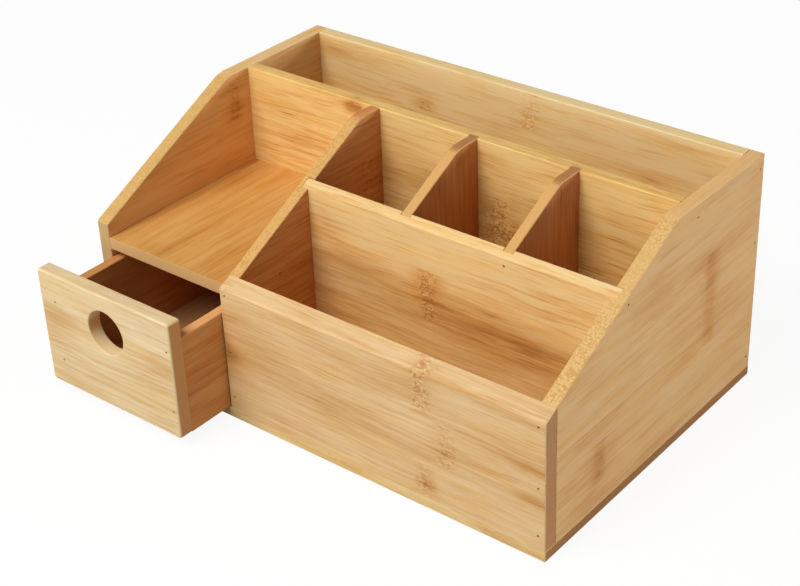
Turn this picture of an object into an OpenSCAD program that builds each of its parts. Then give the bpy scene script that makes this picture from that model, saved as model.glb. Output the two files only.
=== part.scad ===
// Desk organizer in laminated bamboo board: an open tray over one drawer on the left, a front
// compartment and a row of pockets on the right, and a full-width slot along the back.
// X runs to the right, Y to the back and Z up. The origin is the middle of the body's footprint,
// on the underside of the base board. The drawer stands partly open.

/* [Body] */
// Width over the two sides
body_w = 305; // [280:1:340]
// Depth from the front panel to the back board
body_d = 196.5; // [186:0.5:230]
// Height of the back, the rear divider and the rear of the sides
body_h = 136; // [128:0.5:170]
// Height of the front edges of the sides, where the slope starts
nose_h = 84.9; // [82:0.1:100]
// Level run of the slope, from the front edges of the sides to the knee
slope_run = 101.9; // [90:0.1:108]
// Radius of the knee between the slope and the level top
knee_r = 20; // [2:0.5:30]

/* [Boards] */
// Thickness of the base board
base_t = 6; // [5:0.1:8]
// Thickness of the left and right sides
side_t = 8.5; // [7.5:0.1:12]
// Thickness of the back board
back_t = 8; // [6:0.1:10]
// Thickness of the front panel
panel_t = 8.5; // [7:0.1:12]
// Thickness of the partition beside the drawer
partition_t = 7; // [6:0.1:9]
// Thickness of the shelf over the drawer
shelf_t = 7; // [5:0.1:8]
// Thickness of the rear divider
rear_div_t = 7.5; // [6:0.1:9]
// Thickness of the middle divider
mid_div_t = 6; // [5:0.1:8]
// Thickness of the dividers between the pockets
pocket_div_t = 6; // [4:0.1:8]
// Radius that eases the ends of the front panel and of the base board below it
panel_ease = 0.8; // [0.3:0.1:2]
// Radius of the nose where the bevelled top of the front panel meets its front
panel_nose = 2; // [0.5:0.1:3]

/* [Layout] */
// Clear width of the drawer bay, from the left side to the partition
bay_w = 91.9; // [80:0.1:110]
// Clear height of the drawer bay, from the base board to the shelf
bay_h = 63.8; // [60:0.1:68]
// Clear depth of the front compartment
front_room = 55.9; // [45:0.1:62]
// Clear depth of the pockets
pocket_room = 55.4; // [50:0.1:62]
// Clear width of the pocket next to the partition; the others share what is left
first_pocket_w = 60.3; // [40:0.1:75]
// Number of pockets
pocket_count = 3; // [3:1:4]

/* [Joints between boards] */
// Depth that the middle divider is let into the partition and the right side
mid_let_in = 4; // [2:0.1:4.5]
// Depth that the pocket dividers are let into the rear and middle dividers
pocket_let_in = 2.5; // [1:0.1:3]
// Clearance around an end that is let in
fit_gap = 0.1; // [0.05:0.01:0.2]

/* [Drawer] */
// Distance that the drawer stands open
drawer_open = 36.9; // [5:0.1:80]
// Thickness of the drawer front
drawer_front_t = 8.5; // [7:0.1:11]
// Height of the drawer front
drawer_front_h = 70.3; // [66:0.1:75]
// Thickness of the drawer sides and back
drawer_wall_t = 6; // [5:0.1:8]
// Height of the drawer sides and back
drawer_wall_h = 58.8; // [45:0.1:59]
// Thickness of the drawer bottom
drawer_bottom_t = 3; // [2:0.1:4]
// Depth of the grooves that hold the drawer bottom
groove_depth = 3; // [1.5:0.1:4]
// Height of the grooves above the lower edges of the drawer sides
groove_up = 5; // [3:0.1:8]
// Clearance between the drawer bottom and its grooves
groove_gap = 0.1; // [0.05:0.01:0.3]
// Diameter of the finger hole
finger_d = 26; // [20:0.5:30]
// Height of the middle of the finger hole above the base board
finger_up = 47.5; // [40:0.1:50]
// Width of the eased rim of the finger hole
rim_ease = 0.8; // [0.3:0.1:1.5]
// Radius that eases the front edges of the drawer front
front_ease = 1.2; // [0.5:0.1:2.5]
// Radius of the corners of the drawer front, seen from the front
front_corner = 1.5; // [0.5:0.1:4]
// Clearance between the drawer and each wall of its bay
drawer_side_gap = 0.7; // [0.4:0.1:1.2]
// Clearance between the drawer sides and the base board that they slide on
drawer_run_gap = 0.3; // [0.2:0.05:0.5]
// Clearance behind the closed drawer
drawer_back_gap = 1.2; // [0.5:0.1:5]
// Clearance between the closed drawer front and the edges that it covers
stop_gap = 0.2; // [0.1:0.05:0.5]
// Distance from the left end of the drawer front to the outer face of the left side
front_inset = 0.8; // [0.5:0.1:3]
// Clearance between the drawer front and the end of the front panel
front_gap = 0.4; // [0.3:0.1:1]

/* [Brads] */
// Diameter of the brads
brad_d = 1.2; // [1:0.1:1.6]
// Length of the brads
brad_len = 22; // [18:0.5:28]
// Depth that the brads are set below the surface
brad_sink = 0.4; // [0.2:0.1:1]
// Clearance around a brad in its hole
brad_gap = 0.03; // [0.02:0.01:0.05]
// Height of the lowest brads in the front panel
panel_brad_low = 14; // [12:0.5:20]
// Height of the middle brads in the front panel
panel_brad_mid = 42; // [30:0.5:55]
// Height of the highest brads in the front panel
panel_brad_high = 77; // [65:0.5:78]
// Distance from a board's edge to the first brad along it
brad_inset = 7.5; // [6:0.5:12]
// Height of the middle brad in the ends of the back board
back_brad_mid = 85; // [60:1:100]
// Distance of the middle divider's brads below its bevelled top
bevel_brad_drop = 4.5; // [4:0.5:8]
// Distance of the brads in long joints from the ends of those joints
joint_brad_inset = 30; // [24:1:40]
// Height of the drawer's lower brads above the lower edges of its sides
drawer_brad_low = 16; // [14:0.5:24]
// Height of the drawer's upper brads above the lower edges of its sides
drawer_brad_high = 53; // [40:0.5:54]

/* [Hidden] */
$fn = 48;

// Segments in every rounded corner, and the overrun of a cut past the surface that it opens
arc_steps = 6;
over = 1;

// Directions in which the brads are driven, as turns from straight up
DRIVE_UP = [0, 0, 0];
DRIVE_BACK = [-90, 0, 0];
DRIVE_FORWARD = [90, 0, 0];
DRIVE_RIGHT = [0, 90, 0];
DRIVE_LEFT = [0, -90, 0];

// Faces of the body across its width
left_x = -body_w / 2;
right_x = body_w / 2;
left_in = left_x + side_t;
right_in = right_x - side_t;
part_l = left_in + bay_w;
part_r = part_l + partition_t;
part_mid = part_l + partition_t / 2;

// Faces of the body along its depth
front_y = -body_d / 2;
edge_y = front_y + panel_t;
mid_front = edge_y + front_room;
mid_back = mid_front + mid_div_t;
rear_front = mid_back + pocket_room;
rear_back = rear_front + rear_div_t;
back_front = body_d / 2 - back_t;
back_y = body_d / 2;

// Heights
slope = (body_h - nose_h) / slope_run;
shelf_z = base_t + bay_h;
shelf_top = shelf_z + shelf_t;
function slope_z(y) = nose_h + slope * (y - edge_y);

// Pocket dividers, counted from the partition
shared_w = (right_in - part_r - first_pocket_w - (pocket_count - 1) * pocket_div_t)
           / (pocket_count - 1);
function divider_x(i) = part_r + first_pocket_w + (i - 1) * (shared_w + pocket_div_t);
function divider_mid(i) = divider_x(i) + pocket_div_t / 2;

// The drawer, in its closed place
drawer_l = left_in + drawer_side_gap;
drawer_r = part_l - drawer_side_gap;
drawer_z = base_t + drawer_run_gap;
front_back = edge_y - stop_gap;
drawer_end = rear_front - drawer_back_gap;
front_l = left_x + front_inset;
front_r = part_l - front_gap;
finger_x = (front_l + front_r) / 2;
groove_z = drawer_z + groove_up;
closed_front = front_back - drawer_front_t;

// Places of the brads, each a point on the face that it is driven through
panel_brads = [for (x = [part_mid, right_in + side_t / 2])
    for (z = [panel_brad_low, panel_brad_mid, panel_brad_high]) [x, front_y, z]];
back_brad_z = [base_t + brad_inset, back_brad_mid, body_h - brad_inset];
function end_brads(x) = concat(
    [for (z = back_brad_z) [x, back_front + back_t / 2, z]],
    [[x, rear_front + rear_div_t / 2, body_h - brad_inset]]);
function shelf_brads(x) = [for (y = [edge_y + joint_brad_inset, rear_front - joint_brad_inset])
    [x, y, shelf_z + shelf_t / 2]];
mid_end_brad = [right_x, (mid_front + mid_back) / 2,
                slope_z((mid_front + mid_back) / 2) - bevel_brad_drop];
left_brads = concat(end_brads(left_x), shelf_brads(left_x));
right_brads = concat(end_brads(right_x), [mid_end_brad]);
rear_brads = [for (x = concat([part_mid], [for (i = [1 : pocket_count - 1]) divider_mid(i)]))
    for (z = [base_t + joint_brad_inset, body_h - joint_brad_inset]) [x, rear_back, z]];
mid_brads = [[divider_mid(pocket_count - 1), mid_front, slope_z(mid_front) - bevel_brad_drop]];
base_brads_side = [for (x = [left_x + side_t / 2, right_x - side_t / 2])
    for (y = [edge_y + joint_brad_inset, (edge_y + back_y) / 2, back_y - joint_brad_inset]) [x, y, 0]];
base_brads_part = [for (y = [edge_y + joint_brad_inset, rear_front - joint_brad_inset]) [part_mid, y, 0]];
base_brads_rear = [for (x = [left_in + joint_brad_inset, right_in - joint_brad_inset])
    for (y = [rear_front + rear_div_t / 2, back_front + back_t / 2]) [x, y, 0]];
base_brads_mid = [for (x = [part_r + joint_brad_inset, right_in - joint_brad_inset])
    [x, (mid_front + mid_back) / 2, 0]];
base_brads_panel = [for (x = [part_r + joint_brad_inset, right_in - joint_brad_inset])
    [x, front_y + panel_t / 2, 0]];
base_brad_points = concat(base_brads_side, base_brads_part, base_brads_rear, base_brads_mid,
                          base_brads_panel);
drawer_brad_up = [drawer_brad_low, drawer_brad_high];
drawer_front_points = [for (x = [drawer_l + drawer_wall_t / 2, drawer_r - drawer_wall_t / 2])
    for (up = drawer_brad_up) [x, closed_front, drawer_z + up]];
function drawer_back_points(x) = [for (up = drawer_brad_up)
    [x, drawer_end - drawer_wall_t / 2, drawer_z + up]];

// An outline whose corners are rounded: each corner b between a and c gives way to an arc of its
// own radius, tangent to both edges. A radius of 0 keeps the corner sharp.
function corner(a, b, c, r) =
    let (u = (a - b) / norm(a - b), v = (c - b) / norm(c - b), half = acos(u * v) / 2,
         centre = b + (u + v) / norm(u + v) * r / sin(half), start = b + u * r / tan(half) - centre,
         from = atan2(start.y, start.x), turn = (180 - 2 * half) * sign(cross(b - a, c - b)))
    [for (k = [0 : arc_steps]) centre + r * [cos(from + turn * k / arc_steps),
                                             sin(from + turn * k / arc_steps)]];
function rounded(points, radii) = let (n = len(points)) [for (i = [0 : n - 1]) each
    (radii[i] == 0 ? [points[i]] : corner(points[(i + n - 1) % n], points[i], points[(i + 1) % n], radii[i]))];

// The side view that all standing boards share: vertical front edge, slope, knee and level top
side_outline = rounded([[edge_y, base_t], [back_y, base_t], [back_y, body_h],
                        [edge_y + slope_run, body_h], [edge_y, nose_h]], [0, 0, 0, knee_r, 0]);

// A board from corner lo to corner hi
module slab(lo, hi) {
    translate(lo)
        cube(hi - lo);
}

// An outline in the Y-Z plane, carried from x0 to x1
module carried_in_x(outline, x0, x1) {
    translate([x0, 0, 0])
        rotate([90, 0, 90])
            linear_extrude(height = x1 - x0)
                polygon(outline);
}

// A board from corner lo to corner hi whose top is cut to the common side view
module under_outline(lo, hi) {
    intersection() {
        slab(lo, hi);
        carried_in_x(side_outline, lo.x - over, hi.x + over);
    }
}

// A board from lo to hi whose upright front edges are rounded
module front_eased(lo, hi, ease) {
    translate([0, 0, lo.z])
        linear_extrude(height = hi.z - lo.z)
            polygon(rounded([[lo.x, lo.y], [hi.x, lo.y], [hi.x, hi.y], [lo.x, hi.y]], [ease, ease, 0, 0]));
}

// Headless brads driven in one direction from the points given
module brads(points, drive) {
    color("dimgray")
        for (p = points)
            translate(p)
                rotate(drive)
                    translate([0, 0, brad_sink])
                        cylinder(d = brad_d, h = brad_len);
}

// The holes that those brads leave
module brad_holes(points, drive) {
    for (p = points)
        translate(p)
            rotate(drive)
                translate([0, 0, -over])
                    cylinder(d = brad_d + 2 * brad_gap, h = over + brad_sink + brad_len + brad_gap);
}

// The housing that takes the ends of the middle divider, on both of its boards at once
module mid_housing() {
    slab([part_r - mid_let_in - fit_gap, mid_front - fit_gap, base_t - over],
         [right_in + mid_let_in + fit_gap, mid_back + fit_gap, body_h + over]);
}

// The housings that take the ends of the pocket dividers, front and rear at once
module pocket_housings() {
    for (i = [1 : pocket_count - 1])
        slab([divider_x(i) - fit_gap, mid_back - pocket_let_in - fit_gap, base_t - over],
             [divider_x(i) + pocket_div_t + fit_gap, rear_front + pocket_let_in + fit_gap, body_h + over]);
}

// Moves the drawer's pieces from their closed place to where the drawer stands
module drawn_out() {
    translate([0, -drawer_open, 0])
        children();
}

// Base board, as large as the body; every standing board stands on it, and its front edge is flush
// with the front panel
module base_board() {
    color("peru")
        difference() {
            front_eased([left_x, front_y, 0], [right_x, back_y, base_t], panel_ease);
            brad_holes(base_brad_points, DRIVE_UP);
        }
}

// Left side
module left_side() {
    color("burlywood")
        difference() {
            carried_in_x(side_outline, left_x, left_in);
            brad_holes(left_brads, DRIVE_RIGHT);
            brad_holes(base_brads_side, DRIVE_UP);
        }
}

// Right side, with the housing for the middle divider
module right_side() {
    color("burlywood")
        difference() {
            carried_in_x(side_outline, right_in, right_x);
            mid_housing();
            brad_holes(right_brads, DRIVE_LEFT);
            brad_holes(panel_brads, DRIVE_BACK);
            brad_holes(base_brads_side, DRIVE_UP);
        }
}

// Back board, between the sides
module back_board() {
    color("burlywood")
        difference() {
            slab([left_in, back_front, base_t], [right_in, back_y, body_h]);
            brad_holes(left_brads, DRIVE_RIGHT);
            brad_holes(right_brads, DRIVE_LEFT);
            brad_holes(base_brads_rear, DRIVE_UP);
        }
}

// Rear divider, full width, with housings for the pocket dividers
module rear_divider() {
    color("burlywood")
        difference() {
            under_outline([left_in, rear_front, base_t], [right_in, rear_back, body_h]);
            pocket_housings();
            brad_holes(left_brads, DRIVE_RIGHT);
            brad_holes(right_brads, DRIVE_LEFT);
            brad_holes(rear_brads, DRIVE_FORWARD);
            brad_holes(base_brads_rear, DRIVE_UP);
        }
}

// Partition between the drawer bay and the right-hand compartments
module partition() {
    color("burlywood")
        difference() {
            under_outline([part_l, edge_y, base_t], [part_r, rear_front, body_h]);
            mid_housing();
            brad_holes(panel_brads, DRIVE_BACK);
            brad_holes(rear_brads, DRIVE_FORWARD);
            brad_holes(shelf_brads(part_r), DRIVE_LEFT);
            brad_holes(base_brads_part, DRIVE_UP);
        }
}

// Shelf over the drawer, the floor of the open tray
module drawer_shelf() {
    color("burlywood")
        difference() {
            slab([left_in, edge_y, shelf_z], [part_l, rear_front, shelf_top]);
            brad_holes(left_brads, DRIVE_RIGHT);
            brad_holes(shelf_brads(part_r), DRIVE_LEFT);
        }
}

// Middle divider: its bevelled top lies on the slope of the sides
module middle_divider() {
    color("burlywood")
        difference() {
            under_outline([part_r - mid_let_in, mid_front, base_t],
                          [right_in + mid_let_in, mid_back, body_h]);
            pocket_housings();
            brad_holes(right_brads, DRIVE_LEFT);
            brad_holes(mid_brads, DRIVE_BACK);
            brad_holes(base_brads_mid, DRIVE_UP);
        }
}

// Divider i between the pockets, let into the middle and rear dividers
module pocket_divider(i) {
    color("tan")
        difference() {
            under_outline([divider_x(i), mid_back - pocket_let_in, base_t],
                          [divider_x(i) + pocket_div_t, rear_front + pocket_let_in, body_h]);
            brad_holes(rear_brads, DRIVE_FORWARD);
            brad_holes(mid_brads, DRIVE_BACK);
        }
}

// First divider between the pockets
module pocket_divider_1() {
    pocket_divider(1);
}

// The other dividers between the pockets
module pocket_divider_2() {
    for (i = [2 : 1 : pocket_count - 1])
        pocket_divider(i);
}

// Front panel: it stands on the base board and covers the front edges of the partition and the
// right side, and its bevelled top carries the slope on
module front_panel() {
    outline = rounded([[front_y, base_t], [edge_y, base_t], [edge_y, nose_h], [front_y, slope_z(front_y)]],
                      [0, 0, 0, panel_nose]);
    color("burlywood")
        difference() {
            intersection() {
                front_eased([part_l, front_y, 0], [right_x, edge_y, body_h], panel_ease);
                carried_in_x(outline, part_l - over, right_x + over);
            }
            brad_holes(panel_brads, DRIVE_BACK);
            brad_holes(base_brad_points, DRIVE_UP);
        }
}

// Drawer front, with the eased finger hole and the groove for the bottom
module drawer_front() {
    lo = [front_l, closed_front, drawer_z];
    hi = [front_r, front_back, drawer_z + drawer_front_h];
    side = rounded([[lo.y, lo.z], [hi.y, lo.z], [hi.y, hi.z], [lo.y, hi.z]], [front_ease, 0, 0, front_ease]);
    face = rounded([[lo.x, lo.z], [hi.x, lo.z], [hi.x, hi.z], [lo.x, hi.z]],
                   [front_corner, front_corner, front_corner, front_corner]);
    color("wheat")
        drawn_out()
            difference() {
                intersection() {
                    front_eased(lo, hi, front_ease);
                    carried_in_x(side, lo.x - over, hi.x + over);
                    translate([0, hi.y + over, 0])
                        rotate([90, 0, 0])
                            linear_extrude(height = drawer_front_t + 2 * over)
                                polygon(face);
                }
                finger_hole();
                bottom_groove();
                brad_holes(drawer_front_points, DRIVE_BACK);
            }
}

// The finger hole, from in front of the drawer front to behind it, with an eased rim on both faces
module finger_hole() {
    translate([finger_x, front_back, base_t + finger_up])
        rotate([90, 0, 0]) {
            translate([0, 0, -over])
                cylinder(d = finger_d, h = drawer_front_t + 2 * over);
            cylinder(d1 = finger_d + 2 * rim_ease, d2 = finger_d, h = rim_ease);
            translate([0, 0, drawer_front_t - rim_ease])
                cylinder(d1 = finger_d, d2 = finger_d + 2 * rim_ease, h = rim_ease);
        }
}

// The groove for the drawer bottom, cut into the front, the sides and the back at once
module bottom_groove() {
    slab([drawer_l + drawer_wall_t - groove_depth, front_back - groove_depth, groove_z],
         [drawer_r - drawer_wall_t + groove_depth, drawer_end - drawer_wall_t + groove_depth,
          groove_z + drawer_bottom_t + 2 * groove_gap]);
}

// A side of the drawer whose outer face is at x and whose inner face is at x_in
module drawer_side(x, x_in, drive) {
    color("tan")
        drawn_out()
            difference() {
                slab([min(x, x_in), front_back, drawer_z], [max(x, x_in), drawer_end, drawer_z + drawer_wall_h]);
                bottom_groove();
                brad_holes(drawer_front_points, DRIVE_BACK);
                brad_holes(drawer_back_points(x), drive);
            }
}

// Left side of the drawer
module drawer_left_side() {
    drawer_side(drawer_l, drawer_l + drawer_wall_t, DRIVE_RIGHT);
}

// Right side of the drawer
module drawer_right_side() {
    drawer_side(drawer_r, drawer_r - drawer_wall_t, DRIVE_LEFT);
}

// Back of the drawer, between its sides
module drawer_back() {
    color("tan")
        drawn_out()
            difference() {
                slab([drawer_l + drawer_wall_t, drawer_end - drawer_wall_t, drawer_z],
                     [drawer_r - drawer_wall_t, drawer_end, drawer_z + drawer_wall_h]);
                bottom_groove();
                brad_holes(drawer_back_points(drawer_l), DRIVE_RIGHT);
                brad_holes(drawer_back_points(drawer_r), DRIVE_LEFT);
            }
}

// Bottom of the drawer, held in the groove on all four sides
module drawer_bottom() {
    reach = groove_depth - groove_gap;
    color("sienna")
        drawn_out()
            slab([drawer_l + drawer_wall_t - reach, front_back - reach, groove_z + groove_gap],
                 [drawer_r - drawer_wall_t + reach, drawer_end - drawer_wall_t + reach,
                  groove_z + groove_gap + drawer_bottom_t]);
}

// Brads through the front panel into the partition and the right side
module front_panel_brads() {
    brads(panel_brads, DRIVE_BACK);
}

// Brads through the left side into the back board, the rear divider and the shelf
module left_side_brads() {
    brads(left_brads, DRIVE_RIGHT);
}

// Brads through the right side into the back board, the rear divider and the middle divider
module right_side_brads() {
    brads(right_brads, DRIVE_LEFT);
}

// Brads through the rear divider into the partition and the pocket dividers
module rear_divider_brads() {
    brads(rear_brads, DRIVE_FORWARD);
}

// Brad through the middle divider into the last pocket divider
module middle_divider_brads() {
    brads(mid_brads, DRIVE_BACK);
}

// Brads through the partition into the shelf
module partition_brads() {
    brads(shelf_brads(part_r), DRIVE_LEFT);
}

// Brads up through the base board
module base_brads() {
    brads(base_brad_points, DRIVE_UP);
}

// Brads through the drawer front into the drawer sides
module drawer_front_brads() {
    drawn_out()
        brads(drawer_front_points, DRIVE_BACK);
}

// Brads through the drawer sides into the drawer back
module drawer_back_brads() {
    drawn_out() {
        brads(drawer_back_points(drawer_l), DRIVE_RIGHT);
        brads(drawer_back_points(drawer_r), DRIVE_LEFT);
    }
}

base_board();
left_side();
right_side();
back_board();
rear_divider();
partition();
drawer_shelf();
middle_divider();
pocket_divider_1();
pocket_divider_2();
front_panel();
drawer_front();
drawer_left_side();
drawer_right_side();
drawer_back();
drawer_bottom();
front_panel_brads();
left_side_brads();
right_side_brads();
rear_divider_brads();
middle_divider_brads();
partition_brads();
base_brads();
drawer_front_brads();
drawer_back_brads();
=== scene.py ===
"""The looks of the bamboo desk organizer: eased boards with sunk brads, laminated bamboo, studio."""

import bmesh
import bpy
import numpy as np
from mathutils import Matrix, Vector


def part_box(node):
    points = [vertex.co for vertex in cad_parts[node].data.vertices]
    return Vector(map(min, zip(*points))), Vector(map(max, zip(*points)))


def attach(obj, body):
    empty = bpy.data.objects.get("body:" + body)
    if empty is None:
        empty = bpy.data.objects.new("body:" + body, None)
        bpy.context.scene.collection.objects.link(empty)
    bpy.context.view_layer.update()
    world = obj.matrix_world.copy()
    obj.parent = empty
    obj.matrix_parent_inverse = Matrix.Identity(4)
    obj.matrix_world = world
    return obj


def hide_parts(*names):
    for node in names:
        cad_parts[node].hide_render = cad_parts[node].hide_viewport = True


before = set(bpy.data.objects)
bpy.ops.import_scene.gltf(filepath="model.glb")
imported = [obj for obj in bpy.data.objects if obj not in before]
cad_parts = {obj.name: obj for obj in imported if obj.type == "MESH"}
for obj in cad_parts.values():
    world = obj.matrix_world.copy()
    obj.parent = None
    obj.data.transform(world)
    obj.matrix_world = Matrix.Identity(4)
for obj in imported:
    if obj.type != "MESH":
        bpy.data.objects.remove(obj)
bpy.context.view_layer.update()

# Shapes are worked out in millimetres and put into the meshes in metres
MM = 0.001

# Steps in every eased arris, in the knee of the side view and round the finger hole
EASE_STEPS = 4
KNEE_STEPS = 10
HOLE_STEPS = 120

# Points closer than this, in metres, are one point
MERGED = 1e-7

# Radii of the arrises, in millimetres: sanded free edges, edges in a glued joint, the ends of the
# base board, the soft nose of the front panel, and the edge and the corners of the drawer front
SANDED = 0.7
GLUED = 0.15
BASE_END = 0.5
PANEL_NOSE = 2.1
FRONT_EDGE = 1.2
FRONT_CORNER = 1.5


def box_mm(node):
    """Lowest and highest corner of a CAD node, in millimetres."""
    low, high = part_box(node)
    return np.array(low) / MM, np.array(high) / MM


SIDE_LOW, SIDE_HIGH = box_mm("left_side")

# The side view that the standing boards share: a slope that starts at the front panel's top, a
# knee of this radius and a level top. A board has no line of the knee within BEND_GAP of its ends
EDGE_Y = SIDE_LOW[1]
NOSE_Z = box_mm("front_panel")[1][2]
TOP_Z = SIDE_HIGH[2]
BEND_GAP = 1.0
SLOPE_RUN = 101.9
KNEE_RADIUS = 20.0
SLOPE = (TOP_Z - NOSE_Z) / SLOPE_RUN
SLOPE_ANGLE = np.arctan(SLOPE)
KNEE_Y = EDGE_Y + SLOPE_RUN + KNEE_RADIUS * np.tan(SLOPE_ANGLE / 2)
KNEE_START = KNEE_Y - KNEE_RADIUS * np.sin(SLOPE_ANGLE)


def top_at(y):
    """Height of the common side view at depth y: the slope, then the knee's arc, then level."""
    y = np.asarray(y, float)
    sloped = NOSE_Z + SLOPE * (y - EDGE_Y)
    reach = np.clip(KNEE_Y - y, 0, KNEE_RADIUS)
    arc = TOP_Z - KNEE_RADIUS + np.sqrt(KNEE_RADIUS ** 2 - reach ** 2)
    return np.where(y < KNEE_START, sloped, np.where(y < KNEE_Y, arc, TOP_Z))


def stations_between(low, high):
    """Places along the depth where the side view bends, from low to high."""
    knee = KNEE_Y - KNEE_RADIUS * np.sin(np.linspace(SLOPE_ANGLE, 0, KNEE_STEPS + 1))
    inner = knee[(knee > low + BEND_GAP) & (knee < high - BEND_GAP)]
    return np.concatenate([[low], inner, [high]])


def new_object(name, points, faces):
    """A closed mesh from points in millimetres, with doubled points merged."""
    mesh = bpy.data.meshes.new(name)
    mesh.from_pydata((np.asarray(points).reshape(-1, 3) * MM).tolist(), [], faces)
    shape = bmesh.new()
    shape.from_mesh(mesh)
    bmesh.ops.remove_doubles(shape, verts=shape.verts, dist=MERGED)
    bmesh.ops.recalc_face_normals(shape, faces=shape.faces)
    shape.to_mesh(mesh)
    shape.free()
    piece = bpy.data.objects.new(name, mesh)
    bpy.context.scene.collection.objects.link(piece)
    return piece


def carried(name, axis, stations, section, ease, tip):
    """A board as a cross-section carried along an axis.

    section(s) gives the corners at the places s, anticlockwise in the other two axes in their
    order. Each corner is drawn in by the ring's inset along the mitre of its two edges' normals,
    n1 and n2, and rounded with an arc of its ease less the inset, swung from n1 to n2. At both
    ends the rings lie on a quarter circle of radius tip: inset tip * (1 - sin t) at depth
    tip * (1 - cos t), for t from 0 to a right angle.
    """
    places = np.asarray(stations, float)
    turn = np.linspace(0, np.pi / 2, EASE_STEPS + 1)
    depth, inset = tip * (1 - np.cos(turn)), tip * (1 - np.sin(turn))
    rings = np.concatenate([places[0] + depth, places[1:-1], (places[-1] - depth)[::-1]])
    insets = np.concatenate([inset, np.zeros(len(places) - 2), inset[::-1]])[:, None]
    corners = section(rings)
    edge = np.roll(corners, -1, axis=1) - corners
    out = np.stack([edge[..., 1], -edge[..., 0]], axis=-1)
    after = out / np.linalg.norm(out, axis=-1, keepdims=True)
    before = np.roll(after, 1, axis=1)
    dot = (before * after).sum(-1, keepdims=True)
    mitre = (before + after) / (1 + dot)
    radius = np.clip(np.asarray(ease) - insets, 0, None)[..., None]
    centre = corners - mitre * (insets[..., None] + radius)
    swing = np.arccos(np.clip(dot, -1, 1))
    step = np.linspace(0, 1, EASE_STEPS + 1)
    arc = (before[:, :, None] * np.sin((1 - step)[:, None] * swing[:, :, None])
           + after[:, :, None] * np.sin(step[:, None] * swing[:, :, None])) / np.sin(swing)[:, :, None]
    loops = (centre[:, :, None] + radius[:, :, None] * arc).reshape(len(rings), -1, 2)
    count = loops.shape[1]
    points = np.insert(loops, axis, np.repeat(rings[:, None], count, axis=1), axis=2)
    ring, place = np.meshgrid(np.arange(len(rings) - 1), np.arange(count), indexing="ij")
    follow = (place + 1) % count
    quads = np.stack([ring * count + place, ring * count + follow,
                      (ring + 1) * count + follow, (ring + 1) * count + place], axis=-1).reshape(-1, 4)
    caps = [np.arange(count)[::-1], np.arange(count) + (len(rings) - 1) * count]
    return new_object(name, points, quads.tolist() + [cap.tolist() for cap in caps])


def rectangle(low, high, top=None):
    """Corners of an upright rectangle at every place, its top level or following top(place)."""

    def section(places):
        upper = np.full(len(places), high[1]) if top is None else top(places)
        lower, left, right = (np.full(len(places), value) for value in (low[1], low[0], high[0]))
        return np.stack([np.stack(pair, -1) for pair in
                         ((left, lower), (right, lower), (right, upper), (left, upper))], axis=1)
    return section


def cut(piece, *cutters):
    """Takes the cutters' space out of a piece and deletes the cutters."""
    for cutter in cutters:
        boolean = piece.modifiers.new("cut", "BOOLEAN")
        boolean.operation = "DIFFERENCE"
        boolean.solver = "EXACT"
        boolean.object = cutter
    bpy.context.view_layer.update()
    final = bpy.data.meshes.new_from_object(piece.evaluated_get(bpy.context.evaluated_depsgraph_get()))
    piece.modifiers.clear()
    piece.data = final
    for cutter in cutters:
        bpy.data.objects.remove(cutter)
    return piece


def block(low, high):
    """A plain block between two corners, used as a cutter."""
    low, high = np.asarray(low, float), np.asarray(high, float)
    unit = np.array([[x, y, z] for z in (0, 1) for y in (0, 1) for x in (0, 1)])
    faces = [[0, 2, 3, 1], [4, 5, 7, 6], [0, 1, 5, 4], [2, 6, 7, 3], [0, 4, 6, 2], [1, 3, 7, 5]]
    return new_object("cutter", low + unit * (high - low), faces)


def points_of(node):
    """The points of a CAD node's mesh, in millimetres."""
    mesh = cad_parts[node].data
    points = np.empty(len(mesh.vertices) * 3, np.float32)
    mesh.vertices.foreach_get("co", points)
    return points.reshape(-1, 3) / MM


# Every brad has as many mesh points as the single one in the middle divider. Its hole has this
# radius, overrun past both ends and number of sides
BRAD_POINTS = len(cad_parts["middle_divider_brads"].data.vertices)
BRAD_HOLE = 0.63
BRAD_OVERRUN = 1.0
BRAD_SIDES = 20


def brad_holes(node):
    """The holes of one group of brads as a single cutter.

    Each brad's box gives its axis, the long one. The hole is a prism round that axis, drawn
    past both ends: its rims are the box's middle + radius * (cos a, sin a).
    """
    brads = points_of(node).reshape(-1, BRAD_POINTS, 3)
    low, high = brads.min(axis=1), brads.max(axis=1)
    axis = int(np.argmax((high - low)[0]))
    others = [other for other in range(3) if other != axis]
    turn = np.linspace(0, 2 * np.pi, BRAD_SIDES, endpoint=False)
    rims = np.zeros((len(brads), 2, BRAD_SIDES, 3)) + ((low + high) / 2)[:, None, None]
    rims[..., others[0]] += BRAD_HOLE * np.cos(turn)
    rims[..., others[1]] += BRAD_HOLE * np.sin(turn)
    rims[:, 0, :, axis] = low[:, axis, None] - BRAD_OVERRUN
    rims[:, 1, :, axis] = high[:, axis, None] + BRAD_OVERRUN
    place = np.arange(BRAD_SIDES)
    follow = np.roll(place, -1)
    first = (np.arange(len(brads)) * 2 * BRAD_SIDES)[:, None, None]
    walls = np.stack([place, follow, follow + BRAD_SIDES, place + BRAD_SIDES], axis=-1) + first
    caps = np.stack([place[::-1], place + BRAD_SIDES]) + first
    faces = walls.reshape(-1, 4).tolist() + caps.reshape(-1, BRAD_SIDES).tolist()
    return new_object("cutter", rims, faces)


# Clearance round an end that is let in
FIT = 0.1

# The nodes of the drawer, and those made of thin board
DRAWER_NODES = ("drawer_front", "drawer_left_side", "drawer_right_side", "drawer_back", "drawer_bottom")


def housing(node, open_top=True):
    """The space that a let-in board takes out of its neighbours, open at the top or not."""
    low, high = box_mm(node)
    rise = np.array([FIT, FIT, TOP_Z if open_top else FIT])
    return block(low - FIT, high + rise)


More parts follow.
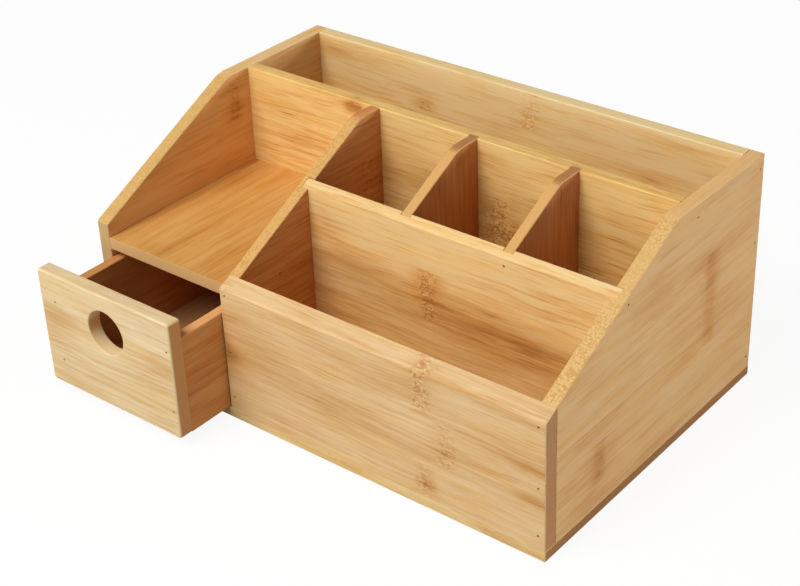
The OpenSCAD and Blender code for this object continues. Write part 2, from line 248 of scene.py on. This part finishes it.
def stand_in(piece, node, brads=(), housings=(), grooved=False):
    """Cuts a board's holes, housings and groove, puts it in its node's place and lets it ride."""
    cut(piece, *[brad_holes(group) for group in brads], *[housing(other) for other in housings],
        *([housing("drawer_bottom", open_top=False)] if grooved else []))
    piece.data.shade_flat()
    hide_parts(node)
    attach(piece, "drawer" if node in DRAWER_NODES else "body")
    return piece


def level_board(node, axis, free=SANDED, tip=GLUED, **cuts):
    """A plain rectangular board carried along axis, its two upper arrises eased by free."""
    low, high = box_mm(node)
    u, v = [other for other in range(3) if other != axis]
    piece = carried(node + "_eased", axis, (low[axis], high[axis]),
                    rectangle((low[u], low[v]), (high[u], high[v])), (GLUED, GLUED, free, free), tip)
    return stand_in(piece, node, **cuts)


def sloped_board(node, tip=GLUED, **cuts):
    """A standing board that runs to the back, its top on the common side view."""
    low, high = box_mm(node)
    piece = carried(node + "_eased", 1, stations_between(low[1], high[1]),
                    rectangle((low[0], low[2]), (high[0], high[2]), top_at),
                    (GLUED, GLUED, SANDED, SANDED), tip)
    return stand_in(piece, node, **cuts)


def bevelled_board(node, ease, tip=GLUED, **cuts):
    """A standing board that runs across, its top bevelled to the slope of the side view."""
    low, high = box_mm(node)
    front_top, back_top = NOSE_Z + SLOPE * (np.array([low[1], high[1]]) - EDGE_Y)
    corners = np.array([(low[1], low[2]), (high[1], low[2]), (high[1], back_top), (low[1], front_top)])
    piece = carried(node + "_eased", 0, (low[0], high[0]),
                    lambda places: np.repeat(corners[None], len(places), axis=0), ease, tip)
    return stand_in(piece, node, **cuts)


# The finger hole: height of its middle over the front's lower edge, radius and easing of its rims
FINGER_UP = 47.2
FINGER_RADIUS = 13.0
RIM_EASE = 0.8

# Angles that agree to this many digits are one. Lengths this close count as equal, and no ray's
# share along an axis is taken as less than the last value
ANGLE_DIGITS = 6
CLOSE = 1e-6
LEAST_SHARE = 1e-9


def pierced_front(node):
    """The drawer front: a board with a round hole, as one closed grid of angle and line.

    The first parameter is the angle a round the hole: the ray at a meets the outline, a rectangle
    with round corners, in one of its sides or, within a corner's square, in that corner's circle.
    The second runs from the hole's front rim over the front face to the outline, round that edge
    to the rear face and back through the hole. Each rim and edge is a quarter circle of lines:
    inset r * (1 - sin t) at depth r * (1 - cos t).
    """
    low, high = box_mm(node)
    centre, half = (high + low)[[0, 2]] / 2, (high - low)[[0, 2]] / 2
    middle = np.array([centre[0], low[2] + FINGER_UP])
    corners = np.array([(1, 1), (-1, 1), (-1, -1), (1, -1)])
    hubs = centre + corners * (half - FRONT_CORNER)
    quarter = np.linspace(0, np.pi / 2, EASE_STEPS + 1)
    swing = np.arange(4)[:, None] * np.pi / 2 + quarter
    bends = hubs[:, None] + FRONT_CORNER * np.stack([np.cos(swing), np.sin(swing)], -1) - middle
    angles = np.unique(np.round(np.concatenate([
        np.linspace(-np.pi, np.pi, HOLE_STEPS, endpoint=False),
        np.arctan2(bends[..., 1], bends[..., 0]).ravel()]), ANGLE_DIGITS))
    ray = np.stack([np.cos(angles), np.sin(angles)], 1)
    way = np.where(ray > 0, 1, -1)
    reach = (half + way * (centre - middle)) / np.maximum(np.abs(ray), LEAST_SHARE)
    hit = middle + ray * reach.min(axis=1, keepdims=True)
    normal = np.where(reach[:, :1] < reach[:, 1:], [1, 0], [0, 1]) * way
    hub = centre + np.sign(hit - centre) * (half - FRONT_CORNER)
    round_part = (np.abs(hit - centre) > half - FRONT_CORNER - CLOSE).all(axis=1)
    to_hub = hub - middle
    ahead = (ray * to_hub).sum(axis=1)
    chord = np.clip(FRONT_CORNER ** 2 - (to_hub ** 2).sum(axis=1) + ahead ** 2, 0, None)
    on_circle = middle + ray * (ahead + np.sqrt(chord))[:, None]
    hit = np.where(round_part[:, None], on_circle, hit)
    normal = np.where(round_part[:, None], (on_circle - hub) / FRONT_CORNER, normal)

    def rim(inset):
        """The hole's line, drawn out by the inset."""
        return middle + ray * (FINGER_RADIUS + inset)

    def outline(inset):
        """The outline's line, drawn in by the inset."""
        return hit - normal * inset

    def ring(edge, radius, face_y, inward):
        """Lines of one quarter circle, from the face to the wall beside it."""
        inset = (radius * (1 - np.sin(quarter)))[:, None, None]
        y = face_y + inward * radius * (1 - np.cos(quarter))
        return np.insert(edge(inset), 1, np.repeat(y[:, None], len(angles), axis=1), axis=2)

    loops = np.concatenate([
        ring(rim, RIM_EASE, low[1], 1)[::-1], ring(outline, FRONT_EDGE, low[1], 1),
        ring(outline, SANDED, high[1], -1)[::-1], ring(rim, RIM_EASE, high[1], -1)])
    count, around = loops.shape[:2]
    line, place = np.meshgrid(np.arange(count), np.arange(around), indexing="ij")
    after, follow = (line + 1) % count, (place + 1) % around
    quads = np.stack([line * around + place, after * around + place,
                      after * around + follow, line * around + follow], axis=-1).reshape(-1, 4)
    return new_object(node + "_eased", loops, quads.tolist())


POCKETS = ("pocket_divider_1", "pocket_divider_2")
BOTH_SIDES = ("left_side_brads", "right_side_brads", "base_brads")

base = level_board("base_board", 0, free=GLUED, tip=BASE_END, brads=("base_brads",))
left = sloped_board("left_side", tip=SANDED, brads=("left_side_brads", "base_brads"))
right = sloped_board("right_side", tip=SANDED, housings=("middle_divider",),
                     brads=("right_side_brads", "front_panel_brads", "base_brads"))
back = level_board("back_board", 0, brads=BOTH_SIDES)
rear = level_board("rear_divider", 0, housings=POCKETS, brads=BOTH_SIDES + ("rear_divider_brads",))
partition = sloped_board("partition", housings=("middle_divider",), brads=(
    "front_panel_brads", "rear_divider_brads", "partition_brads", "base_brads"))
shelf = level_board("drawer_shelf", 1, brads=("left_side_brads", "partition_brads"))
middle_board = bevelled_board("middle_divider", (GLUED, GLUED, SANDED, SANDED), housings=POCKETS,
                              brads=("right_side_brads", "middle_divider_brads", "base_brads"))
pocket_1 = sloped_board("pocket_divider_1", brads=("rear_divider_brads",))
pocket_2 = sloped_board("pocket_divider_2", brads=("rear_divider_brads", "middle_divider_brads"))
panel = bevelled_board("front_panel", (GLUED, GLUED, GLUED, PANEL_NOSE), tip=SANDED,
                       brads=("front_panel_brads", "base_brads"))
drawer_left = level_board("drawer_left_side", 1, grooved=True,
                          brads=("drawer_front_brads", "drawer_back_brads"))
drawer_right = level_board("drawer_right_side", 1, grooved=True,
                           brads=("drawer_front_brads", "drawer_back_brads"))
drawer_back = level_board("drawer_back", 0, grooved=True, brads=("drawer_back_brads",))
drawer_bottom = level_board("drawer_bottom", 1, free=GLUED)
drawer_front = stand_in(pierced_front("drawer_front"), "drawer_front", grooved=True,
                        brads=("drawer_front_brads",))


class Wire:
    """A value in a material; arithmetic on it adds Math nodes."""

    def __init__(self, finish, socket):
        self.finish = finish
        self.socket = socket

    def math(self, operation, *others):
        """A Math node of that operation on this value and the others."""
        return self.finish.node("ShaderNodeMath", {"operation": operation}, (self, *others))

    def __add__(self, other):
        return self.math("ADD", other)

    def __sub__(self, other):
        return self.math("SUBTRACT", other)

    def __rsub__(self, other):
        return self.finish.node("ShaderNodeMath", {"operation": "SUBTRACT"}, (other, self))

    def __mul__(self, other):
        return self.math("MULTIPLY", other)

    def __truediv__(self, other):
        return self.math("DIVIDE", other)

    def __floordiv__(self, other):
        return (self / other).math("FLOOR")

    def __abs__(self):
        return self.math("ABSOLUTE")

    __radd__ = __add__
    __rmul__ = __mul__


class Finish:
    """A material whose nodes all come from one method."""

    def __init__(self, name):
        self.material = bpy.data.materials.new(name)
        self.material.use_nodes = True
        self.nodes = self.material.node_tree.nodes
        self.links = self.material.node_tree.links
        self.shader = self.nodes["Principled BSDF"]

    def fill(self, socket, value):
        """Links a wire to a socket, or sets the socket to a plain value."""
        if isinstance(value, Wire):
            self.links.new(value.socket, socket)
        else:
            socket.default_value = value

    def node(self, kind, settings=None, inputs=(), output=0):
        """A node of that type: its settings first, then its sockets by name or by place."""
        made = self.nodes.new(kind)
        for key, value in (settings or {}).items():
            if key == "stops":
                stops = made.color_ramp.elements
                while len(stops) < len(value):
                    stops.new(1)
                for stop, (place, tint) in zip(stops, value):
                    stop.position, stop.color = place, tint
            else:
                setattr(made, key, value)
        for key, value in (inputs.items() if isinstance(inputs, dict) else enumerate(inputs)):
            self.fill(made.inputs[key], value)
        return Wire(self, made.outputs[output])

    def mix(self, factor, first, second):
        """The first colour, going over to the second as the factor goes to 1."""
        return self.node("ShaderNodeMix", {"data_type": "RGBA"}, {0: factor, 6: first, 7: second}, 2)

    def vector(self, x, y, z):
        """A vector of three values."""
        return self.node("ShaderNodeCombineXYZ", inputs=(x, y, z))

    def noise(self, vector, **inputs):
        """Smooth noise of about one wave per unit of the vector."""
        return self.node("ShaderNodeTexNoise", inputs={"Vector": vector, "Scale": 1.0, **inputs})

    def step(self, value, low, high):
        """0 where the value is low and 1 where it is high, with a smooth step between."""
        return self.node("ShaderNodeMapRange", {"interpolation_type": "SMOOTHSTEP"},
                         (value, low, high, 0.0, 1.0))

    def surface(self, **sockets):
        """Fills the shader's own sockets, named with underscores for spaces."""
        for name, value in sockets.items():
            self.fill(self.shader.inputs[name.replace("_", " ")], value)
        return self.material


def colour(red, green, blue):
    """A colour as it looks on a screen, from 0 to 255, as linear values."""
    screen = np.array([red, green, blue]) / 255
    linear = np.where(screen <= 0.04045, screen / 12.92, ((screen + 0.055) / 1.055) ** 2.4)
    return (*linear.tolist(), 1.0)


# Width of the strips that the boards are laminated from, in millimetres, and how far the pattern
# of one strip is shifted against the next
STRIP_WIDTH = 28.0
STRIP_SLIDE = 5.3

# The bends that the fibres follow: length, width and reach in millimetres
BEND_LENGTH = 45.0
BEND_WIDTH = 18.0
BEND_REACH = 5.0

# Patterns of fibres: length and width in millimetres, detail, and shift along the grain
FINE = (24.0, 0.6, 2.0, 0.0)
MEDIUM = (40.0, 2.0, 3.0, 11.0)
BROAD = (70.0, 7.5, 2.0, 23.0)
CLOUD = (48.0, 22.0, 2.0, 37.0)
FLECK = (9.0, 0.7, 1.0, 53.0)
PORE = (24.0, 0.5, 1.5, 71.0)
GILT = (65.0, 11.0, 1.0, 91.0)

# Values of the noise between which each fleck, pore and golden band sets in
FLECK_ONSET = (0.62, 0.76)
PORE_ONSET = (0.56, 0.76)
GILT_ONSET = (0.48, 0.66)

# The tone runs from 0, palest, to 1, deepest. These are its usual and its dark value, and how far
# each pattern moves it
USUAL_TONE = 0.37
DARK_TONE = 0.72
FINE_SHARE = 0.5
MEDIUM_SHARE = 0.6
BROAD_SHARE = 0.6
CLOUD_SHARE = 0.5
STRIP_SHARE = 0.13
FLECK_SHARE = 0.13

# Shares of the patterns in the relief
FINE_RELIEF = 0.35
MEDIUM_RELIEF = 0.25
PORE_RELIEF = 0.3
KNUCKLE_RELIEF = 0.7

# A patch's outline: where it starts and ends to fade, in half sizes, and how ragged it is
PATCH_FADE = (0.2, 1.15)
PATCH_MEDIUM = 1.5
PATCH_FINE = 0.7

# Knuckles, in millimetres: fading of their ends, where core and halo fade, the waves and the
# reach of their wandering, and the size of the squiggles along, across and through
KNUCKLE_FADE = 2.0
KNUCKLE_CORE = (2.0, 8.0)
KNUCKLE_HALO = (1.0, 17.0)
WANDER_LENGTH = 8.0
WANDER_REACH = 8.0
SQUIGGLE = (2.9, 1.9, 2.4)

# Values of the squiggles between which pits set in and pale painted highlights end, and what all
# marks of a knuckle do to the tone
PIT_ONSET = (0.5, 0.62)
PAINTED_GLINT_END = (0.36, 0.47)
HALO_TONE = 0.1
PIT_TONE = 0.3
PAINTED_GLINT_TONE = 0.22
SMEAR_TONE = 0.04
SMEAR_SQUIGGLE = 0.14

# The bundles in a slanting cut: length, size across and through in millimetres, randomness,
# where their pale cores end and their dark rims set in, and their least and further strength
BUNDLE = (9.0, 0.75, 1.15)
BUNDLE_RANDOMNESS = 0.7
CORE_END = (0.16, 0.36)
RIM_ONSET = (0.5, 0.62)
PATCHY_ONSET = (0.35, 0.6)
PATCHY_LEAST = 0.45
PATCHY_MORE = 0.55

# A face is a slanting cut or a square end from these shares of its normal along the grain on
SLANT_FACING = (0.12, 0.4)
SQUARE_FACING = (0.92, 0.99)

# What the usual colour of a board is multiplied by, from its palest to its deepest places: bamboo
# turns creamier where it is pale and redder where it is dark
PALE = (1.15, 1.28, 1.5)
USUAL = (1.02, 1.03, 1.04)
DARK = (0.86, 0.68, 0.48)
DEEP = (0.55, 0.35, 0.22)

# The same for slanting cuts and their bundles, and for square ends
SLANT_PALE = (1.08, 1.12, 1.1)
SLANT_DARK = (0.92, 0.84, 0.74)
BUNDLE_PALE = (1.14, 1.26, 1.5)
BUNDLE_DARK = (0.82, 0.66, 0.46)
END_PALE = (1.14, 1.16, 1.18)
END_DARK = (0.84, 0.8, 0.76)

# The tint of the golden bands and its strength, and the brightest that wood can be
GOLDEN = (1.02, 0.98, 0.85, 1.0)
GOLDEN_SHARE = 0.7
BRIGHTEST = 0.86

# The satin lacquer over the wood
LACQUER_SPECULAR = 0.35
LACQUER_ROUGHNESS = 0.42
ROUGHNESS_RANGE = 0.16
RELIEF_STRENGTH = 0.14
RELIEF_DEPTH = 0.0002


def tinted(screen, share):
    """A screen colour with its red, green and blue light multiplied by three shares.

    What would come out brighter than wood can be is dimmed in all three alike, so its hue stays.
    """
    light = np.array(colour(*screen)[:3]) * share
    return (*(light * min(1.0, BRIGHTEST / light.max())).tolist(), 1.0)


def knuckled(made, along, across, through, seed, knuckles, tone, relief):
    """Tone and relief with the marks of the knuckles added to them.

    A knuckle is a band across the grain, between its two edges and near a line that wanders with
    smooth noise. Its bite splits it into a core, whose squiggles of noise are dark pits and pale
    painted highlights, and a soft smear. A wider halo lies round both.
    """
    wander = made.noise(made.vector(across / WANDER_LENGTH, through / WANDER_LENGTH, seed))
    squiggle = made.noise(made.vector(along / SQUIGGLE[0], across / SQUIGGLE[1], through / SQUIGGLE[2]),
                          Detail=1.5, Distortion=1.3)
    core = halo = smear = 0.0
    for knuckle, low, high, bite in knuckles:
        inside = (made.step(across, low, low + KNUCKLE_FADE)
                  * (1.0 - made.step(across, high - KNUCKLE_FADE, high)))
        away = abs(along - knuckle + (wander - 0.5) * WANDER_REACH)
        near = inside * (1.0 - made.step(away, *KNUCKLE_CORE))
        core = near * bite + core
        smear = near * (1.0 - bite) + smear
        halo = inside * (1.0 - made.step(away, *KNUCKLE_HALO)) + halo
    pits = made.step(squiggle, *PIT_ONSET) * core
    # Pits darken the tone; the palest squiggles lighten it as painted highlights
    painted_glints = (1.0 - made.step(squiggle, *PAINTED_GLINT_END)) * core
    tone = (tone + halo * HALO_TONE + pits * PIT_TONE - painted_glints * PAINTED_GLINT_TONE
            + smear * (SMEAR_TONE + squiggle * SMEAR_SQUIGGLE))
    return tone, relief + (painted_glints - pits) * KNUCKLE_RELIEF


def bamboo(name, grain, wide, usual, end=None, oblique=None, knuckles=(), patches=(), seed=0.0,
           speckle=0.0, pores=0.26, streaks=1.1):
    """Laminated bamboo: strips side by side, fibres along the grain, knuckles and cut ends.

    grain and wide are the axes of the fibres and of the board's width. usual, end and oblique are
    the screen colours of its faces, its square ends and its slanting cuts. A knuckle is (place along
    the grain, lower edge, upper edge, bite), from a soft smear at bite 0 to deep squiggles at 1. A
    patch is (place along, place across, half length, half width, amount), darker where the amount is
    above 0. All are in millimetres. speckle is the strength of the bundles in slanting cuts, pores
    that of the dark pores and streaks the contrast of the fibres. The pattern is solid: bundles of
    fibres in the cross-section are drawn out along the grain, so that faces show streaks and
    slanting cuts show speckles.
    """
    made = Finish(name)
    place = made.node("ShaderNodeVectorMath", {"operation": "SCALE"}, {
        0: made.node("ShaderNodeTexCoord", output="Object"), "Scale": 1 / MM})
    axes = [made.node("ShaderNodeSeparateXYZ", inputs=(place,), output=axis) for axis in range(3)]
    along, across, through = axes[grain], axes[wide], axes[3 - grain - wide]
    strip = across // STRIP_WIDTH
    chance = made.node("ShaderNodeTexWhiteNoise", {"noise_dimensions": "1D"}, {"W": strip + seed})
    slide = strip * STRIP_SLIDE + seed
    bend = made.noise(made.vector(along / BEND_LENGTH + slide, across / BEND_WIDTH, through / BEND_WIDTH))
    bent = across + (bend - 0.5) * BEND_REACH

    def fibres(length, width, detail, shift):
        """Noise drawn out along the grain, between 0 and 1."""
        return made.noise(made.vector(along / length + slide + shift, bent / width, through / width),
                          Detail=detail)

    fine, medium, broad, cloud = [fibres(*pattern) for pattern in (FINE, MEDIUM, BROAD, CLOUD)]
    flecks = made.step(fibres(*FLECK), *FLECK_ONSET)
    long_pores = made.step(fibres(*PORE), *PORE_ONSET)
    tone = (USUAL_TONE + (fine - 0.5) * (FINE_SHARE * streaks)
            + (medium - 0.5) * (MEDIUM_SHARE * streaks) + (broad - 0.5) * BROAD_SHARE
            + (cloud - 0.5) * CLOUD_SHARE + (chance - 0.5) * STRIP_SHARE
            + long_pores * pores - flecks * FLECK_SHARE)
    relief = fine * FINE_RELIEF + medium * MEDIUM_RELIEF - long_pores * PORE_RELIEF

    for middle, level, half_length, half_width, amount in patches:
        out_along = (along - middle) / half_length
        out_across = (across - level) / half_width
        away = (out_along * out_along + out_across * out_across).math("SQRT")
        ragged = away + (medium - 0.5) * PATCH_MEDIUM + (fine - 0.5) * PATCH_FINE
        tone = tone + (1.0 - made.step(ragged, *PATCH_FADE)) * amount
    if knuckles:
        tone, relief = knuckled(made, along, across, through, seed, knuckles, tone, relief)

    wood = made.node("ShaderNodeValToRGB", {"stops": [
        (0.0, tinted(usual, PALE)), (USUAL_TONE, tinted(usual, USUAL)),
        (DARK_TONE, tinted(usual, DARK)), (1.0, tinted(usual, DEEP))]}, (tone,))
    gilt = made.step(fibres(*GILT), *GILT_ONSET)
    wood = made.node("ShaderNodeMix", {"data_type": "RGBA", "blend_type": "MULTIPLY"},
                     {0: gilt * GOLDEN_SHARE, 6: wood, 7: GOLDEN}, 2)

    normal = made.node("ShaderNodeTexCoord", output="Normal")
    facing = abs(made.node("ShaderNodeSeparateXYZ", inputs=(normal,), output=grain))
    bundles = made.node("ShaderNodeTexVoronoi", inputs={
        "Vector": made.vector(along / BUNDLE[0] + seed, across / BUNDLE[1], through / BUNDLE[2]),
        "Scale": 1.0, "Randomness": BUNDLE_RANDOMNESS})
    patchy = speckle * (PATCHY_LEAST + made.step(cloud, *PATCHY_ONSET) * PATCHY_MORE)
    slant = oblique or usual
    slanting = made.mix(medium * 0.5, tinted(slant, SLANT_PALE), tinted(slant, SLANT_DARK))
    slanting = made.mix((1.0 - made.step(bundles, *CORE_END)) * patchy, slanting,
                        tinted(slant, BUNDLE_PALE))
    slanting = made.mix(made.step(bundles, *RIM_ONSET) * patchy, slanting, tinted(slant, BUNDLE_DARK))
    square = end or usual
    square_end = made.mix(fine * 0.6 + cloud * 0.4, tinted(square, END_PALE), tinted(square, END_DARK))
    cut_through = made.mix(made.step(facing, *SQUARE_FACING), slanting, square_end)
    coloured = made.mix(made.step(facing, *SLANT_FACING), wood, cut_through)
    bump = made.node("ShaderNodeBump", inputs={
        "Strength": RELIEF_STRENGTH, "Distance": RELIEF_DEPTH, "Height": relief})
    return made.surface(Base_Color=coloured, Roughness=LACQUER_ROUGHNESS + medium * ROUGHNESS_RANGE,
                        Specular_IOR_Level=LACQUER_SPECULAR, Normal=bump)


# Each board's own bamboo: its grain runs along the first axis and its width along the second.
# Some of the usual colours and patches also paint light and shade, as noted beside them
X, Y, Z = range(3)
finishes = {
    panel: bamboo(
        "panel bamboo", X, Z, (219, 180, 126), end=(192, 140, 89), seed=1.0,
        knuckles=[(79, 56, 87, 1.0), (95, 28, 56, 0.8), (80, 6, 27, 0.6)],
        patches=[(-54, 42, 24, 14, 0.42), (-50, 66, 20, 6, 0.2), (150, 51, 30, 4, 0.34),
                 (152, 34, 24, 4, 0.4), (95, 56, 40, 1.6, 0.2), (82, 15, 8, 5, 0.3),
                 # The lighter patch at height 91 is painted highlight along the top edge
                 (50, 91, 130, 6, -0.3), (40, 50, 45, 9, -0.14)]),
    drawer_front: bamboo(
        "drawer front bamboo", X, Z, (226, 197, 149), end=(234, 173, 115), seed=2.0,
        patches=[(-146, 52, 26, 9, 0.3), (-60, 48, 24, 3, 0.16), (-120, 24, 34, 2.2, 0.16),
                 # The lighter patch at height 78 is painted highlight along the top edge
                 (-95, 78, 60, 5, -0.08), (-100, 36, 40, 9, -0.12)]),
    back: bamboo(
        "back bamboo", X, Z, (238, 205, 144), seed=3.0,
        knuckles=[(10.5, 112, 136, 0.75), (-64, 104, 113, 0.4)],
        # The lighter patch at height 136 is painted highlight along the top edge
        patches=[(-64, 108, 12, 5, 0.2), (30, 136, 170, 3, -0.25), (-120, 126, 40, 5, 0.14),
                 (90, 106, 50, 5, 0.14)]),
    rear: bamboo(
        "rear divider bamboo", X, Z, (234, 193, 121), seed=4.0, pores=0.42, streaks=1.5,
        knuckles=[(-64, 127, 136, 0.5), (37, 74, 106, 1.0), (29, 74, 98, 0.8), (46, 74, 94, 0.8)],
        patches=[(-64, 131, 10, 6, 0.35), (40, 92, 24, 10, 0.12), (-10, 74, 60, 14, 0.06),
                 (-110, 98, 44, 3, 0.2)]),
    middle_board: bamboo(
        "middle divider bamboo", X, Z, (234, 193, 128), seed=5.0, streaks=1.6,
        knuckles=[(33, 58, 90, 0.9)],
        # The lighter patches at heights 117 and 104 are painted highlight towards the top; the darker
        # long ones at 64 and 62 are the front panel's painted shadow low down
        patches=[(34, 84, 14, 10, 0.28), (50, 117, 150, 5, -0.2), (50, 104, 150, 11, -0.1),
                 (50, 64, 150, 20, 0.16), (100, 62, 80, 12, 0.2), (-30, 78, 50, 8, 0.14)]),
    left: bamboo(
        "left side bamboo", Y, Z, (234, 187, 124), end=(208, 171, 116), oblique=(211, 169, 102),
        seed=6.0, speckle=0.45, knuckles=[(14, 106, 133, 0.55)],
        # The lighter patch at height 138 is painted highlight along the level top
        patches=[(16, 112, 12, 12, 0.16), (-70, 84, 40, 8, 0.1), (62, 138, 60, 5, -0.5)]),
    right: bamboo(
        "right side bamboo", Y, Z, (234, 187, 127), oblique=(220, 177, 112), seed=7.0,
        speckle=0.7, streaks=0.85, knuckles=[(49, 46, 102, 0.0), (-53, 18, 45, 0.1)],
        patches=[(50, 80, 10, 26, 0.1), (-53, 30, 9, 13, 0.1), (60, 60, 50, 5, 0.1),
                 (-40, 86, 40, 9, -0.12)]),
    # The partition's usual colour is deeper and redder than the outer boards': partly its own colour,
    # partly painted shade
    partition: bamboo(
        "partition bamboo", Y, Z, (215, 148, 90), oblique=(215, 167, 99), seed=8.0, speckle=0.6,
        pores=0.45, streaks=1.7, knuckles=[(14, 70, 112, 0.9)], patches=[(-60, 50, 40, 16, 0.14)]),
    shelf: bamboo(
        "shelf bamboo", Y, X, (213, 156, 83), end=(216, 172, 116), seed=9.0, streaks=1.4,
        # The darker patches on its left part, strongest along the left side at -136, are that side's
        # painted shadow
        patches=[(-30, -136, 90, 8, 0.18), (-60, -108, 40, 5, 0.12), (-84, -118, 10, 16, 0.16)]),
    base: bamboo(
        "base bamboo", X, Y, (223, 190, 132), end=(179, 124, 72), seed=10.0,
        patches=[(150, 56, 12, 12, 0.3)]),
    # The pocket dividers' usual colours are deeper and redder than the outer boards': partly their own
    # colour, partly painted shade of the pockets
    pocket_1: bamboo(
        "pocket divider bamboo", Z, Y, (207, 137, 79), end=(186, 132, 80), oblique=(215, 164, 100),
        seed=11.0, streaks=1.7),
    pocket_2: bamboo(
        "last pocket divider bamboo", Z, Y, (205, 139, 92), end=(186, 132, 80),
        oblique=(215, 164, 100), seed=12.0, streaks=1.7),
    # The drawer's left side, back and bottom get darker usual colours that paint the shade inside the
    # drawer
    drawer_left: bamboo("drawer left side bamboo in painted shade", Y, Z, (206, 146, 88), seed=13.0),
    drawer_right: bamboo(
        "drawer right bamboo", Y, Z, (224, 157, 92), seed=14.0, streaks=1.4,
        # The lighter patch at height 66 is painted highlight along the top edge
        patches=[(-110, 66, 30, 3.5, -0.4), (-115, 40, 20, 6, 0.16)]),
    # Darker colours, as painted shade inside the drawer
    drawer_back: bamboo("drawer back bamboo in painted shade", X, Z, (150, 98, 58), seed=15.0),
    drawer_bottom: bamboo("drawer bottom bamboo in painted shade", Y, X, (182, 127, 82), seed=16.0),
}
for piece, material in finishes.items():
    piece.data.materials.clear()
    piece.data.materials.append(material)

# Waves per metre of the dust and lacquer on the brads
WIRE_MOTTLE = 4000.0


def brad_wire():
    """Dull dark wire: drawn steel with lacquer and dust in its sunk heads."""
    made = Finish("brad wire")
    place = made.node("ShaderNodeTexCoord", output="Object")
    scaled = made.node("ShaderNodeVectorMath", {"operation": "SCALE"}, {0: place, "Scale": WIRE_MOTTLE})
    cloud = made.noise(scaled, Detail=3.0)
    return made.surface(Base_Color=made.mix(cloud, colour(38, 26, 18), colour(92, 70, 52)),
                        Roughness=0.5 + cloud * 0.3, Metallic=0.6)


wire = brad_wire()
for name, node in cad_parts.items():
    if name.endswith("_brads"):
        if node.data.materials:
            node.material_slots[0].material = wire
        else:
            node.data.materials.append(wire)

# The camera stands where the photograph was taken from, in metres
CAMERA_AT = Vector((0.503039, -0.612012, 0.529104))
CAMERA_WAY = Vector((-0.539249, 0.674347, -0.504446)).normalized()
CAMERA_ROLL = np.radians(-1.7235)
LENS_MM = 76.158
SENSOR_MM = 36
LENS_SHIFT = (-0.04592, -0.03841)

camera = bpy.data.objects.new("camera", bpy.data.cameras.new("camera"))
level = CAMERA_WAY.cross(Vector((0, 0, 1))).normalized()
upright = level.cross(CAMERA_WAY)
right_way = level * float(np.cos(CAMERA_ROLL)) + upright * float(np.sin(CAMERA_ROLL))
up_way = upright * float(np.cos(CAMERA_ROLL)) - level * float(np.sin(CAMERA_ROLL))
camera.matrix_world = Matrix((
    (right_way.x, up_way.x, -CAMERA_WAY.x, CAMERA_AT.x),
    (right_way.y, up_way.y, -CAMERA_WAY.y, CAMERA_AT.y),
    (right_way.z, up_way.z, -CAMERA_WAY.z, CAMERA_AT.z),
    (0, 0, 0, 1)))
camera.data.lens = LENS_MM
camera.data.sensor_width = SENSOR_MM
camera.data.shift_x, camera.data.shift_y = LENS_SHIFT
bpy.context.scene.collection.objects.link(camera)
bpy.context.scene.camera = camera

# The floor, in millimetres, and the strength and share of the glow that the camera sees on it
FLOOR_HALF = 4000.0
FLOOR_BOTTOM = -20
FLOOR_TOP = -0.1
FLOOR_GLOW = 1.12
FLOOR_GLOW_SHARE = 0.82


def floor_finish():
    """Pale studio floor; the camera sees it nearly white, with the object's soft shadow."""
    made = Finish("studio floor")
    place = made.node("ShaderNodeTexCoord", output="Object")
    mottle = made.noise(place, Detail=2.0)
    made.surface(Base_Color=made.mix(mottle, colour(174, 174, 173), colour(181, 181, 180)),
                 Roughness=0.9)
    glow = made.nodes.new("ShaderNodeEmission")
    glow.inputs["Strength"].default_value = FLOOR_GLOW
    share = made.nodes.new("ShaderNodeMixShader")
    seen = made.node("ShaderNodeLightPath", output="Is Camera Ray")
    made.fill(share.inputs[0], seen * FLOOR_GLOW_SHARE)
    made.links.new(made.shader.outputs[0], share.inputs[1])
    made.links.new(glow.outputs[0], share.inputs[2])
    made.links.new(share.outputs[0], made.nodes["Material Output"].inputs[0])
    return made.material


floor = block((-FLOOR_HALF, -FLOOR_HALF, FLOOR_BOTTOM), (FLOOR_HALF, FLOOR_HALF, FLOOR_TOP))
floor.name = "studio_floor"
floor.data.materials.append(floor_finish())

# All lamps stand this far from the origin and are turned to this point, in metres
LAMP_DISTANCE = 2.2
LAMP_TARGET = Vector((0, 0, 0.05))


def studio_lamp(name, azimuth, elevation, size, power):
    """A square area lamp on a sphere round the object.

    azimuth counts from straight in front to the right, in degrees as elevation does; the lamp
    stands at distance * (sin a cos e, -cos a cos e, sin e). size is in metres, power in watts.
    """
    turn, rise = np.radians([azimuth, elevation])
    way = np.array([np.sin(turn) * np.cos(rise), -np.cos(turn) * np.cos(rise), np.sin(rise)])
    light = bpy.data.lights.new(name, "AREA")
    light.size = size
    light.energy = power
    holder = bpy.data.objects.new(name, light)
    holder.location = (way * LAMP_DISTANCE).tolist()
    holder.rotation_euler = (LAMP_TARGET - holder.location).to_track_quat("-Z", "Y").to_euler()
    bpy.context.scene.collection.objects.link(holder)


studio_lamp("key", -15, 55, 1.1, 38.2)
studio_lamp("low right", 120, 9, 0.5, 20.6)
studio_lamp("left front", -50, 20, 1.1, 8.4)
studio_lamp("low front", 0, 9, 0.5, 7.4)
studio_lamp("back", 150, 50, 1.1, 3.9)
studio_lamp("right front floor", 60, 9, 0.5, 1.7)
studio_lamp("high", -30, 72, 1.1, 1.4)

WORLD_STRENGTH = 0.06

world = bpy.data.worlds.new("studio")
bpy.context.scene.world = world
world.use_nodes = True
sky = world.node_tree.nodes["Background"]
sky.inputs["Color"].default_value = (1, 1, 1, 1)
sky.inputs["Strength"].default_value = WORLD_STRENGTH

bpy.context.scene.view_settings.view_transform = "Standard"
